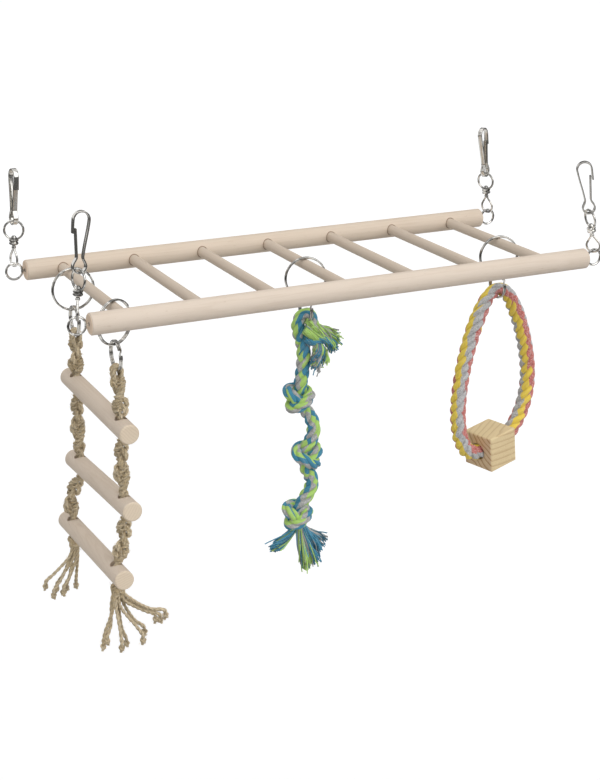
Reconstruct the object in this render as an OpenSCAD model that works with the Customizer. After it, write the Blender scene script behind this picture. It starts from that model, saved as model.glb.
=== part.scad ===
// Hanging bridge for small pets: a ladder deck on four snap hooks, with a rope ladder,
// a knotted rope and a rope ring with a wooden block hung from its rungs.
// Millimetres, Z up. X runs along the rails, Y from the front rail to the back one.
// The origin is the middle of the upper bend of the front left hook, where a cage bar sits.

/* [Rails and rungs] */
// Length of each rail
rail_l = 290; // [255:1:340]
// Diameter of the rails
rail_d = 11.2; // [10:0.1:14]
// Distance between the centre lines of the rails
rail_spacing = 111; // [105:1:140]
// Bevel on the cut ends of all dowels
dowel_bevel = 0.6; // [0.2:0.1:1]
// Diameter of the rungs
rung_d = 5.8; // [4.5:0.1:6.4]
// Distance from the left end of the rails to the first rung
rung_start = 20; // [17:0.5:24]
// Distance from the last rung to the right end of the rails
rung_end = 24; // [21:0.5:30]
// Depth of the rung sockets in the rails
socket_depth = 7; // [4:0.5:8]
// Play of a rung or a screw in its hole, on the radius
hole_play = 0.05; // [0.02:0.01:0.1]

/* [Screw eyes] */
// Outer diameter of the ring of a screw eye
eye_d = 10.2; // [9.2:0.1:10.5]
// Wire of a screw eye
eye_wire = 1.3; // [1:0.1:1.6]
// Distance from the end of the rail to the middle of the ring
eye_reach = 6; // [5.8:0.1:9]
// Diameter of the screw
screw_d = 2; // [1.6:0.1:2.6]
// Length of the screw inside the rail
screw_l = 12; // [8:0.5:12.5]

/* [Swivels] */
// Outer width of the lower loop
loop_w = 8.8; // [8:0.1:10]
// Outer length of the lower loop, up to its tip
loop_l = 11; // [10:0.1:14]
// Wire of the lower loop
loop_wire = 1.1; // [0.9:0.1:1.4]
// Diameter of the ball where the loop's legs meet
tip_d = 2.4; // [2:0.1:3]
// Diameter of the stem that turns in the collar
stem_d = 1.8; // [1.4:0.1:2.2]
// Play of the stem in the collar, on the radius
stem_play = 0.08; // [0.03:0.01:0.1]
// Diameter of the rivet head on the stem
head_d = 3.2; // [2.6:0.1:3.8]
// Height of the rivet head
head_h = 1; // [0.6:0.1:1.4]
// Diameter of the collar
collar_d = 5; // [4:0.1:5.5]
// Height of the collar
collar_h = 3.2; // [2.4:0.1:4.5]
// Outer diameter of the upper ring
swivel_d = 11.4; // [10.4:0.1:12.4]
// Wire of the upper ring
swivel_wire = 1.2; // [1:0.1:1.5]

/* [Snap hooks] */
// Overall length of a hook
hook_l = 30.6; // [29:0.2:38]
// Outer width of the upper bend
hook_w = 8.8; // [8.4:0.1:10.5]
// Outer width of the lower bend
heel_w = 7.4; // [6.8:0.1:8]
// Outer width at the waist
waist_w = 3.9; // [3.4:0.1:4.4]
// Height of the waist above the lower end of the hook
waist_up = 7.8; // [7.4:0.1:9]
// Radius of the bends at the waist
waist_r = 3; // [2:0.1:4]
// Thickness of the spring strip
strip_t = 0.9; // [0.8:0.05:1.1]
// Width of the spring strip
strip_w = 2.7; // [2:0.1:3]
// Length of the straight nose below the upper bend
nose_l = 6.5; // [5:0.1:8]
// Length of the gate's tip that lies behind the nose
gate_lap = 2.2; // [1:0.1:3]
// Play around the gate
gate_play = 0.3; // [0.2:0.05:0.5]
// Play of the swivel's upper ring on the lower bend
heel_play = 0.8; // [0.8:0.05:0.95]

/* [Rings] */
// Outer diameter of the rings on the rungs
big_d = 24; // [22:0.1:27]
// Wire of the rings on the rungs
big_wire = 1.2; // [1:0.1:1.5]
// Outer diameter of the rings below them
small_d = 16.4; // [16:0.1:18]
// Wire of the rings below them
small_wire = 1.2; // [1:0.1:1.5]
// Play between links that hang in one another
link_play = 0.3; // [0.25:0.05:0.4]

/* [Rope ladder] */
// Distance between the two ropes at the rings
ladder_spacing = 68; // [60:1:74]
// Distance between the two rope holes of a step
hole_spacing = 75; // [68:0.5:82]
// Diameter of the jute ropes
jute_d = 6.8; // [6:0.1:7.6]
// Thickness of the jute cords that wrap the rings
jute_cord = 1.9; // [1.5:0.1:2.4]
// Length of the steps
step_l = 101; // [95:1:112]
// Diameter of the steps
step_d = 10.5; // [10:0.1:13]
// Diameter of the rope holes in the steps
step_hole_d = 6.6; // [5.6:0.1:7]
// Depths of the three steps below the rungs
step_depth = [62.5, 108.5, 146]; // [58:0.5:160]
// How far each step hangs to the left
step_left = [0, 0, 6]; // [0:0.5:10]
// How far each step dips at the back
step_dip = [0, 4, 3.5]; // [-6:0.5:6]
// Play of a rope below the step it swings on
swing_play = 0.4; // [0.3:0.05:0.6]

/* [Knotted rope] */
// Diameter of the knotted rope
rope_d = 8.3; // [7.4:0.1:9]
// Diameter of its knots
knot_d = 17.8; // [15:0.1:20]
// Length of its knots along the rope
knot_l = 18.5; // [15:0.5:22]

/* [Rope ring] */
// Diameter of the rope
loop_rope_d = 9.2; // [8:0.1:9.6]
// Thickness of the rope where it is squeezed in its ring
loop_squeeze_d = 7.8; // [7:0.1:8.4]
// Turn of the rope ring about the vertical
loop_turn_z = 15; // [0:1:25]
// Edge of the wooden block
block_edge = 22; // [19:0.5:26]
// Bevel on the edges of the block
block_bevel = 0.7; // [0.3:0.1:1.5]
// Play of the rope in the block, on the radius
block_play = 0.6; // [0.4:0.1:1]

/* [Turns as hung] */
// Turn of the hooks: front left, back left, front right, back right
hook_turn = [0, 96, 150, -150]; // [-180:1:180]
// Lean of the chains along the rails, in the same order
chain_lean = [5.5, 3.5, -12, -6.5]; // [-15:0.5:15]
// Turn of the upper swivel rings, in the same order
swivel_turn = [18, 75, -5, 27]; // [-90:1:90]
// Turn of the lower swivel loops, in the same order
loop_turn = [-15, 12, 35, 20]; // [-35:1:35]
// Turn of the big rings: ladder front, ladder back, knotted rope, rope ring
big_turn = [26, 0, -12, -12]; // [-26:1:26]
// Place along its rung of the knotted rope's ring and of the rope ring's ring
toy_y = [0, -5]; // [-20:1:20]

/* [Hidden] */
$fn = 48;

wood = [0.86, 0.78, 0.68];
pine = [0.84, 0.70, 0.48];
steel = [0.72, 0.72, 0.72];
jute = [0.66, 0.57, 0.42];
cotton = [0.36, 0.60, 0.55];
candy = [0.85, 0.70, 0.35];

// Swelling of a wire where a bend of it meets a straight run
bead = 0.1;
// Depth of the round cut that dresses the bar's seat in a hook
seat_cut = 0.03;

// The four corners, in the order of the turns: sides in X and Y
CORNERS = [[-1, -1], [-1, 1], [1, -1], [1, 1]];
corner_x = rail_l / 2 + eye_reach;
corner_y = rail_spacing / 2;
rung_pitch = (rail_l - rung_start - rung_end) / 6;
rung_x = [for (i = [0:6]) -rail_l / 2 + rung_start + i * rung_pitch];
rung_l = rail_spacing - rail_d + 2 * (socket_depth - hole_play);

// Heights of the hanging chain above the rail axes, from the screw eye upwards
eye_r = (eye_d - eye_wire) / 2;
loop_r = (loop_w - loop_wire) / 2;
loop_z = eye_r - eye_wire / 2 - link_play - loop_wire / 2;
loop_mid_z = loop_z + loop_r;
loop_tip_z = loop_z - loop_wire / 2 + loop_l;
leg_lean = asin(loop_r / (loop_tip_z - loop_mid_z));
collar_z = loop_tip_z + tip_d / 2 + link_play;
swivel_r = (swivel_d - swivel_wire) / 2;
swivel_mid_z = collar_z + collar_h + swivel_r - swivel_wire / 4;
swivel_top_z = swivel_mid_z + swivel_r;
head_z = swivel_mid_z - swivel_r + swivel_wire / 2 + link_play;

// Outline of the hook: bend radii, middles of the bends and leans of its legs
hook_z = swivel_top_z - swivel_wire / 2 - heel_play - strip_t;
heel_r = (heel_w - strip_t) / 2;
heel_mid_z = hook_z + strip_t / 2 + heel_r;
bar_r = (hook_w - strip_t) / 2;
bar_z = hook_z + hook_l - hook_w / 2;
waist_x = (waist_w - strip_t) / 2;
waist_z = hook_z + waist_up;
upper_run = [waist_x, bar_z - waist_z];
lower_run = [waist_x, waist_z - heel_mid_z];
seat_r = bar_r - strip_t / 2 + seat_cut;
upper_lean = asin(bar_r / norm(upper_run)) - atan(upper_run[0] / upper_run[1]);
lower_lean = asin(heel_r / norm(lower_run)) - atan(lower_run[0] / lower_run[1]);
gate_tip = [bar_r - strip_t - gate_play, bar_z - nose_l + gate_lap];
gate_lean = atan((gate_tip[0] - waist_x) / (gate_tip[1] - waist_z));

// Heights of the rings that hang on the rungs
big_r = (big_d - big_wire) / 2;
big_z = rung_d / 2 + link_play - (big_r - big_wire / 2);
big_low_z = big_z - big_r;
small_r = (small_d - small_wire) / 2;
small_top_z = big_low_z + big_wire / 2 + link_play + small_wire / 2;
small_z = small_top_z - small_r;
small_low_z = small_z - small_r;

// Axes of the three ladder steps in X and Z, and where the ropes start
ladder_x = rung_x[0];
ladder_y = ladder_spacing / 2;
hole_y = hole_spacing / 2;
STEPS = [for (k = [0:2]) [ladder_x - step_left[k], -step_depth[k]]];
wrap_bore_d = 2 * small_wire + link_play;
wrap_d = wrap_bore_d + 2 * jute_cord;
wrap_l = 2.6 * jute_cord;
plug_d = step_hole_d - 4 * hole_play;
// The plug ends inside its hole, where the step's wall is still behind it all round
plug_reach = sqrt(step_d * step_d - step_hole_d * step_hole_d) / 2 - link_play;

// Ends of the ladder's tassel cords from their starts, from left to right: x, y, z
TASSEL_FRONT = [[-7, 1, -27], [1, -3, -28], [6, 2, -31], [13, -2, -28], [18, 2, -26], [25, 0, -18]];
TASSEL_BACK = [[-17, 1, -20], [-14, -3, -24], [-11, 3, -23], [-8, -2, -24], [1, 2, -25]];
tassel_d = 2.1;
tassel_knot_d = 4.2;
tassel_gather_d = 8;
tassel_gather_l = 7;

// Route of the knotted rope from the middle of the wire it hangs on: x, y, z, radius
rope_r = rope_d / 2;
fold_r = 0.85 * rope_r;
arch_r = small_wire / 2 + link_play + fold_r;
TUFT = [[22, 0, -19, 5], [17, 0, -16, 5.2], [12, 0, -11.5, 4.6], [7.5, 0, -6, fold_r]];
ARCH = [for (a = [0:30:180]) [arch_r * cos(a), 0, arch_r * sin(a), fold_r]];
NECK = [[-5.6, 0, -6, 4.4], [-4, 0, -12, 5.4], [-2.5, 0, -17, 5], [-2.5, 0, -23, rope_r], [-3, 0, -30, rope_r]];
RUN_1 = [[2, 0, -61, rope_r], [4, 0, -67.5, rope_r]];
RUN_2 = [[3.5, 0, -96.5, rope_r], [2, 0, -103.5, rope_r]];
KNOTS = [[-4, -46], [0.5, -82.5], [-5, -118.5]];
ROPE = concat(TUFT, ARCH, NECK, knot(KNOTS[0]), RUN_1, knot(KNOTS[1]), RUN_2, knot(KNOTS[2]));
rope_end = [KNOTS[2][0], 0, KNOTS[2][1] - knot_l / 2];
// Frayed strands below the last knot, from its lower end: x, y, z, radius
FRAY = [
  [[-2.8, 1, -1.6, 2], [-6, 1, -5, 3.1], [-11, 1, -10, 4], [-16, 1, -14, 4.2]],
  [[0.5, -2.4, -0.5, 2], [1, -3, -9, 3], [3, -4, -18, 4], [5, -4, -27, 4.4]],
  [[3, 1.6, -1.6, 2], [7, 2, -6, 3.1], [13, 2, -13, 4], [19, 2, -21, 4.3]]
];

// Route of the rope ring in its own plane, from the middle of the wire it hangs on: s, z, radius
loop_rope_r = loop_rope_d / 2;
crown_r = 9.5;
crown_z = -(crown_r - loop_squeeze_d / 2 - link_play - small_wire / 2);
block_z = -94;
block_tilt = 6.5;
bore_end = (block_edge / 2 + 1.5) * [cos(block_tilt), sin(block_tilt)];
RIGHT_SIDE = [[16.4, -10], [23.3, -24], [28.6, -40], [31.2, -55], [30.2, -68], [26.5, -78], [20.1, -86.5]];
LEFT_SIDE = [[-20.1, -92.5], [-25.9, -84.5], [-29.1, -73], [-29.6, -57], [-27, -40], [-22.2, -24], [-15.9, -10]];
CROWN = [for (a = [55:35:125]) [crown_r * cos(a), crown_z + crown_r * sin(a), loop_squeeze_d / 2]];
LOOP = concat(
  [[0.4, block_z, loop_rope_r], [bore_end[0], block_z + bore_end[1], loop_rope_r]],
  [for (p = reversed(RIGHT_SIDE)) [p[0], p[1], loop_rope_r]],
  CROWN,
  [for (p = reversed(LEFT_SIDE)) [p[0], p[1], loop_rope_r]],
  [[-bore_end[0], block_z - bore_end[1], loop_rope_r], [-0.4, block_z, loop_rope_r]]
);

// The four points at which the rope swells into a knot and leaves it again
function knot(k) =
  [for (f = [[0.5, 0], [0.42, 0.72], [0.15, 1], [-0.15, 1], [-0.42, 0.72], [-0.5, 0]])
    [k[0], 0, k[1] + f[0] * knot_l, rope_r + f[1] * (knot_d / 2 - rope_r)]];

// A smooth curve through points, with n steps between two of them
function spline(p, i, t) =
  let (a = p[max(i - 1, 0)], b = p[i], c = p[i + 1], d = p[min(i + 2, len(p) - 1)])
  b + t * (c - a) / 2 + t * t * (a - 2.5 * b + 2 * c - d / 2) + t * t * t * (1.5 * b - a / 2 - 1.5 * c + d / 2);
function curve(p, n) =
  concat([for (i = [0:len(p) - 2], k = [0:n - 1]) spline(p, i, k / n)], [p[len(p) - 1]]);

function unit(v) = v / norm(v);
function place(q) = [q[0], q[1], q[2]];

// A tube along points of x, y, z and radius. The lobes wind round it where it is thicker than a rope.
module tube(path, sides, lobe = 0, thin = 0, thick = 1) {
  n = len(path);
  rings = [for (i = [0:n - 1])
    let (
      ahead = unit(place(path[min(i + 1, n - 1)]) - place(path[max(i - 1, 0)])),
      across = unit(cross([0, 1, 0], ahead)),
      up = cross(ahead, across),
      swell = min(1, max(0, (path[i][3] - thin) / (thick - thin)))
    )
    for (k = [0:sides - 1])
      let (a = 360 * k / sides, r = path[i][3] * (1 + lobe * swell * cos(2 * a + 24 * path[i][2])))
      place(path[i]) + r * (cos(a) * across + sin(a) * up)];
  walls = [for (i = [0:n - 2], k = [0:sides - 1])
    let (a = i * sides + k, b = i * sides + (k + 1) % sides)
    each [[a, a + sides, b], [b, a + sides, b + sides]]];
  first = [for (k = [1:sides - 2]) [0, k, k + 1]];
  end = (n - 1) * sides;
  last = [for (k = [1:sides - 2]) [end, end + k + 1, end + k]];
  polyhedron(rings, concat(walls, first, last));
}

// Middle of a hook's upper bend, from the middle of the deck
function bend_at(i) =
  [CORNERS[i][0] * corner_x, CORNERS[i][1] * corner_y, loop_z]
  + (bar_z - loop_z) * [sin(chain_lean[i]), 0, cos(chain_lean[i])];

// Moves what is drawn about the middle of the deck so that the front left hook's bend is the origin
module hung() {
  translate(-bend_at(0)) children();
}

module at_corner(i) {
  hung() translate([CORNERS[i][0] * corner_x, CORNERS[i][1] * corner_y, 0]) children();
}

// A chain leans about the place where its loop sits in the screw eye
module in_chain(i) {
  at_corner(i) translate([0, 0, loop_z]) rotate([0, chain_lean[i], 0]) translate([0, 0, -loop_z]) children();
}

// A dowel along Z with bevelled ends
module dowel(d, l) {
  r = d / 2;
  b = dowel_bevel;
  rotate_extrude()
    polygon([[0, -l / 2], [r - b, -l / 2], [r, b - l / 2], [r, l / 2 - b], [r - b, l / 2], [0, l / 2]]);
}

// A closed ring of wire, upright across Y
module wire_ring(r, wire) {
  rotate([90, 0, 0]) rotate_extrude() translate([r, 0]) circle(d = wire);
}

// A cylinder across the deck
module across_y(d, l) {
  rotate([90, 0, 0]) cylinder(d = d, h = l, center = true);
}

module rail(side) {
  inner = rail_spacing / 2 - rail_d / 2;
  color(wood) hung() difference() {
    translate([0, side * rail_spacing / 2, 0]) rotate([0, 90, 0]) dowel(rail_d, rail_l);
    for (x = rung_x)
      translate([x, side * inner, 0]) rotate([-side * 90, 0, 0]) translate([0, 0, -rail_d / 2])
        cylinder(d = rung_d + 2 * hole_play, h = rail_d / 2 + socket_depth);
    for (end = [-1, 1])
      translate([end * (rail_l / 2 - screw_l - 1), side * rail_spacing / 2, 0]) rotate([0, end * 90, 0])
        cylinder(d = screw_d + 2 * hole_play, h = screw_l + 2);
  }
}

module rung(i) {
  color(wood) hung() translate([rung_x[i], 0, 0]) rotate([90, 0, 0]) dowel(rung_d, rung_l);
}

// A closed ring of wire on a shank with a pointed screw
module screw_eye(i) {
  inward = CORNERS[i][0] < 0 ? 0 : 180;
  color(steel) at_corner(i) rotate([0, 0, inward]) {
    wire_ring(eye_r, eye_wire);
    translate([eye_r, 0, 0]) sphere(d = eye_wire + bead);
    translate([eye_r, 0, 0]) rotate([0, 90, 0]) {
      cylinder(d = eye_wire, h = eye_reach - eye_r);
      translate([0, 0, eye_reach - eye_r]) cylinder(d = screw_d, h = screw_l - screw_d);
      translate([0, 0, eye_reach - eye_r + screw_l - screw_d]) cylinder(d1 = screw_d, d2 = 0.4, h = screw_d);
    }
  }
}

// A drop-shaped loop of wire, with a stem that is riveted over inside the upper ring
module swivel_loop(i) {
  leg_l = sqrt(pow(loop_tip_z - loop_mid_z, 2) - loop_r * loop_r);
  color(steel) in_chain(i) rotate([0, 0, 90 + loop_turn[i]]) {
    translate([0, 0, loop_mid_z]) {
      rotate([90, 0, 0]) rotate([0, 0, 180 - leg_lean])
        rotate_extrude(angle = 180 + 2 * leg_lean) translate([loop_r, 0]) circle(d = loop_wire);
      for (side = [-1, 1])
        translate([side * loop_r * cos(leg_lean), 0, loop_r * sin(leg_lean)])
          rotate([0, -side * leg_lean, 0]) {
            cylinder(d = loop_wire, h = leg_l);
            sphere(d = loop_wire + bead);
          }
    }
    translate([0, 0, loop_tip_z]) sphere(d = tip_d);
    translate([0, 0, loop_tip_z]) cylinder(d = stem_d, h = head_z - loop_tip_z);
    translate([0, 0, head_z]) cylinder(d1 = head_d, d2 = 0.6 * head_d, h = head_h);
  }
}

// Two rims with a groove between them
module collar() {
  r = collar_d / 2;
  h = collar_h;
  b = h / 6;
  rotate_extrude()
    polygon([[0, 0], [r - b, 0], [r, b], [r, h / 2 - b], [r - b, h / 2],
             [r, h / 2 + b], [r, h - b], [r - b, h], [0, h]]);
}

// A ring of wire on a collar, bored for the stem
module swivel_ring(i) {
  color(steel) in_chain(i) rotate([0, 0, 90 + swivel_turn[i]]) difference() {
    union() {
      translate([0, 0, swivel_mid_z]) wire_ring(swivel_r, swivel_wire);
      translate([0, 0, collar_z]) collar();
    }
    translate([0, 0, collar_z - 1])
      cylinder(d = stem_d + 2 * stem_play, h = head_z - collar_z + 1);
  }
}

// Points on an arc, in steps of about ten degrees
function arc(mid, r, from, to) =
  let (n = ceil(abs(to - from) / 10))
  [for (k = [0:n]) mid + r * [cos(from + (to - from) * k / n), sin(from + (to - from) * k / n)]];

// The right-hand bend at the waist, from a leg with this lean down to the lower leg
function waist(lean) =
  let (
    cut = waist_r * tan((lean + lower_lean) / 2),
    mid = [waist_x, waist_z] + cut * [sin(lean), cos(lean)] + waist_r * [cos(lean), -sin(lean)]
  )
  arc(mid, waist_r, 180 - lean, 180 + lower_lean);

function reversed(list) = [for (i = [len(list) - 1:-1:0]) list[i]];
function mirrored(list) = [for (p = list) [-p[0], p[1]]];

// One side of a strip of this thickness along points, with true corners
function side_of(path, offset) =
  let (n = len(path))
  [for (i = [0:n - 1])
    let (
      into = unit(path[max(i, 1)] - path[max(i, 1) - 1]),
      out = unit(path[min(i, n - 2) + 1] - path[min(i, n - 2)]),
      half = unit(into + out)
    )
    path[i] + offset / (half * out) * [-half[1], half[0]]];

// A spring strip bent along points in the plane across Y
module strip(path) {
  rotate([90, 0, 0]) linear_extrude(height = strip_w, center = true)
    polygon(concat(side_of(path, strip_t / 2), reversed(side_of(path, -strip_t / 2))));
}

// One bent strip: nose, upper bend, back leg, waist, lower bend and the foot of the gate.
// The seat for the bar is dressed to a true round.
module hook(i) {
  path = concat(
    [[-bar_r, bar_z - nose_l]],
    arc([0, bar_z], bar_r, 180, -upper_lean),
    waist(upper_lean),
    arc([0, heel_mid_z], heel_r, lower_lean, -180 - lower_lean),
    reversed(mirrored(waist(gate_lean)))
  );
  color(steel) in_chain(i) rotate([0, 0, hook_turn[i]]) difference() {
    strip(path);
    translate([0, 0, bar_z]) across_y(2 * seat_r, 2 * strip_w);
  }
}

// The springy free leg of the strip, which flexes at its foot
function gate_foot() =
  let (cut = waist_r * tan((gate_lean + lower_lean) / 2) + strip_t / 2 + gate_play)
  [waist_x, waist_z] + cut * [sin(gate_lean), cos(gate_lean)];

module gate(i) {
  foot = gate_foot();
  color(steel) in_chain(i) rotate([0, 0, hook_turn[i]]) mirror([1, 0, 0]) {
    strip([foot, gate_tip]);
    translate([foot[0], 0, foot[1]]) across_y(strip_t, strip_w);
  }
}

module big_ring(x, y, turn) {
  color(steel) hung() translate([x, y, big_z]) rotate([0, 0, turn]) wire_ring(big_r, big_wire);
}

module small_ring(x, y) {
  color(steel) hung() translate([x, y, small_z]) rotate([0, 0, 90]) wire_ring(small_r, small_wire);
}

// Middle of a rope hole, halfway through a step
function step_hole(k, side) =
  [STEPS[k][0], side * hole_y * cos(step_dip[k]), STEPS[k][1] - side * hole_y * sin(step_dip[k])];

module at_hole(k, side) {
  translate(step_hole(k, side)) rotate([-step_dip[k], 0, 0]) children();
}

module ladder_step(k) {
  color(wood) hung() difference() {
    translate([STEPS[k][0], 0, STEPS[k][1]]) rotate([90 - step_dip[k], 0, 0]) dowel(step_d, step_l);
    for (side = [-1, 1])
      at_hole(k, side) cylinder(d = step_hole_d, h = 2 * step_d, center = true);
  }
}

// Rope from a ring or a step down to step k, with the plug that fills the hole there
module ladder_rope(k, side) {
  low = step_hole(k, side);
  top = k < 1 ? [ladder_x, side * ladder_y, small_low_z] : step_hole(k - 1, side);
  up = top - low;
  color(jute) hung() {
    difference() {
      union() {
        translate(low) rotate([-asin(up[1] / norm(up)), atan2(up[0], up[2]), 0]) cylinder(d = jute_d, h = norm(up));
        if (k < 1) translate(top) across_y(wrap_d, wrap_l);
      }
      at_hole(k, side) across_y(step_d + 2 * hole_play, 2 * jute_d);
      if (k < 1) translate(top) across_y(wrap_bore_d, 2 * jute_d);
      if (k > 0) at_hole(k - 1, side) across_y(step_d + 2 * swing_play, 2 * jute_d);
    }
    at_hole(k, side) translate([0, 0, -plug_reach]) cylinder(d = plug_d, h = plug_reach + step_d / 2 + 1);
  }
}

// The ropes' ends below the lowest step: a gathering knot and loose cords, each with a knot at its end
module ladder_tassel(side, tips) {
  top = step_d / 2 + hole_play;
  color(jute) hung() at_hole(2, side) {
    difference() {
      translate([0, 0, -top - tassel_gather_l]) cylinder(d1 = 0.7 * tassel_gather_d, d2 = tassel_gather_d,
        h = tassel_gather_l + tassel_gather_d / 4);
      across_y(2 * top, 2 * tassel_gather_d);
    }
    for (k = [0:len(tips) - 1]) {
      across = (k - (len(tips) - 1) / 2) * 0.6 * tassel_d;
      beside = (k % 2 == 0 ? 1 : -1) * 0.7 * tassel_d;
      start = [across, beside, -top - tassel_gather_l - 1.5 * link_play];
      tassel_cord(start, tips[k]);
    }
  }
}

// A loose cord that leaves straight down and bends away to its end, where a knot hangs
module tassel_cord(start, reach) {
  steps = 8;
  route = [for (k = [0:steps])
    let (t = k / steps, away = pow(t, 1.5))
    [start[0] + away * reach[0], start[1] + away * reach[1], start[2] + t * reach[2], tassel_d / 2]];
  tube(route, 8);
  along = unit([1.5 * reach[0], 1.5 * reach[1], reach[2]]);
  translate(start + reach + (tassel_knot_d / 2 + link_play) * along) sphere(d = tassel_knot_d);
}

module knotted_rope() {
  color(cotton) hung() translate([rung_x[3], toy_y[0], small_low_z])
    tube(curve(ROPE, 2), 12, 0.13, rope_r + 1, knot_d / 2);
}

module knotted_rope_tassel() {
  color(cotton) hung() translate([rung_x[3], toy_y[0], small_low_z]) translate(rope_end)
    for (strand = FRAY) tube(curve(strand, 3), 8);
}

module rope_ring() {
  color(candy) hung() translate([rung_x[6], toy_y[1], small_low_z]) rotate([0, 0, loop_turn_z])
    tube(curve([for (p = LOOP) [p[0], 0, p[1], p[2]]], 3), 12);
}

// A square bar with bevelled edges along Z
module bevelled_bar() {
  e = block_edge / 2;
  b = block_bevel;
  linear_extrude(height = block_edge, center = true)
    polygon([[b - e, -e], [e - b, -e], [e, b - e], [e, e - b], [e - b, e], [b - e, e], [-e, e - b], [-e, b - e]]);
}

module block() {
  color(pine) hung() translate([rung_x[6], toy_y[1], small_low_z]) rotate([0, 0, loop_turn_z])
    translate([0, 0, block_z]) rotate([0, -block_tilt, 0]) difference() {
      intersection() {
        bevelled_bar();
        rotate([90, 0, 0]) bevelled_bar();
        rotate([0, 90, 0]) bevelled_bar();
      }
      rotate([0, 90, 0]) cylinder(d = loop_rope_d + 2 * block_play, h = 2 * block_edge, center = true);
    }
}

rail(-1);  // rail_front
rail(1);  // rail_back
rung(0);  // rung_1
rung(1);  // rung_2
rung(2);  // rung_3
rung(3);  // rung_4
rung(4);  // rung_5
rung(5);  // rung_6
rung(6);  // rung_7
screw_eye(0);  // screw_eye_front_left
screw_eye(1);  // screw_eye_back_left
screw_eye(2);  // screw_eye_front_right
screw_eye(3);  // screw_eye_back_right
swivel_loop(0);  // swivel_loop_front_left
swivel_loop(1);  // swivel_loop_back_left
swivel_loop(2);  // swivel_loop_front_right
swivel_loop(3);  // swivel_loop_back_right
swivel_ring(0);  // swivel_ring_front_left
swivel_ring(1);  // swivel_ring_back_left
swivel_ring(2);  // swivel_ring_front_right
swivel_ring(3);  // swivel_ring_back_right
hook(0);  // hook_front_left
hook(1);  // hook_back_left
hook(2);  // hook_front_right
hook(3);  // hook_back_right
gate(0);  // gate_front_left
gate(1);  // gate_back_left
gate(2);  // gate_front_right
gate(3);  // gate_back_right
big_ring(ladder_x, -ladder_y, big_turn[0]);  // big_ring_ladder_front
big_ring(ladder_x, ladder_y, big_turn[1]);  // big_ring_ladder_back
big_ring(rung_x[3], toy_y[0], big_turn[2]);  // big_ring_rope
big_ring(rung_x[6], toy_y[1], big_turn[3]);  // big_ring_loop
small_ring(ladder_x, -ladder_y);  // small_ring_ladder_front
small_ring(ladder_x, ladder_y);  // small_ring_ladder_back
small_ring(rung_x[3], toy_y[0]);  // small_ring_rope
small_ring(rung_x[6], toy_y[1]);  // small_ring_loop
ladder_step(0);  // ladder_step_1
ladder_step(1);  // ladder_step_2
ladder_step(2);  // ladder_step_3
ladder_rope(0, -1);  // ladder_rope_front_1
ladder_rope(1, -1);  // ladder_rope_front_2
ladder_rope(2, -1);  // ladder_rope_front_3
ladder_rope(0, 1);  // ladder_rope_back_1
ladder_rope(1, 1);  // ladder_rope_back_2
ladder_rope(2, 1);  // ladder_rope_back_3
ladder_tassel(-1, TASSEL_FRONT);  // ladder_tassel_front
ladder_tassel(1, TASSEL_BACK);  // ladder_tassel_back
knotted_rope();
knotted_rope_tassel();
rope_ring();
block();
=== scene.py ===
# %% [markdown]
# # A hanging bridge for small pets
# The toy is a ladder deck of dowels that hangs in a cage on four snap hooks. A rope ladder, a knotted
# rope and a rope ring with a wooden block hang under it. The wood, the screw eyes and the swivels come
# from the CAD model as they are and only get their materials here. What is soft, bent or wound is made
# new: ropes, plaits, frayed ends, hook strips and split rings.

# %% Load the CAD frame
import math
import random
import bpy
import numpy as np
from mathutils import Matrix, Vector


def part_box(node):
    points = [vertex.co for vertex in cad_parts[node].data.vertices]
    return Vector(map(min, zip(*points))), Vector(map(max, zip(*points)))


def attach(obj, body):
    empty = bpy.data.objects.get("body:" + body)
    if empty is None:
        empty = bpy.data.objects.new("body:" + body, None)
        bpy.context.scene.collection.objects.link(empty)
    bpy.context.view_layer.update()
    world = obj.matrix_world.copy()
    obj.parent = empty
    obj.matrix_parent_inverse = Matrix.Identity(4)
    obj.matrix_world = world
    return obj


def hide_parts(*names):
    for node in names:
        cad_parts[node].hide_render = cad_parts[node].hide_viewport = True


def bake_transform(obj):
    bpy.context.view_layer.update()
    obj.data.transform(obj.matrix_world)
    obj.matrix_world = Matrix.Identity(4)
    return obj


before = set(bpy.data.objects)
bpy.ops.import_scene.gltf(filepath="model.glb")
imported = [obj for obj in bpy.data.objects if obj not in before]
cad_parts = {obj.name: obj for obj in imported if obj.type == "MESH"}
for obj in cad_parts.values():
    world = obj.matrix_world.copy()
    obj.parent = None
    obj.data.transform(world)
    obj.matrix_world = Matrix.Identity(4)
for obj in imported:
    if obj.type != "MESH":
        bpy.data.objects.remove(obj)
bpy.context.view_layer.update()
TAU = 2 * math.pi
# Places below are in millimetres from the middle of the deck, which lies half way between the two rails
DECK = np.mean([corner for rail in ("rail_front", "rail_back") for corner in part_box(rail)], axis=0)
print("middle of the deck in mm:", [round(1000 * v, 2) for v in DECK])


def place(rows):
    """Points in mm from the middle of the deck, put in metres in the model's frame; more columns stay."""
    rows = np.array(rows, float)
    rows[:, :3] = rows[:, :3] / 1000 + DECK
    return rows


def extent(node):
    """The lowest and the highest corner of a CAD piece in mm from the middle of the deck."""
    return [1000 * (np.array(corner) - DECK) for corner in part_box(node)]


def spot(node):
    """The middle of a CAD piece in mm from the middle of the deck, to a tenth because of its facets."""
    return np.round(np.mean(extent(node), axis=0), 1)


def vertices(node):
    return np.array([v.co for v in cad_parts[node].data.vertices])


def add_object(name, data):
    obj = bpy.data.objects.new(name, data)
    bpy.context.scene.collection.objects.link(obj)
    return obj


# %% [markdown]
# ## The camera
# It stands in front of the toy, to the left and above the deck, and looks down across it. Its place was
# fitted to the rail ends and the rungs in the photo, so the pieces fall where they should in the picture.

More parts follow.
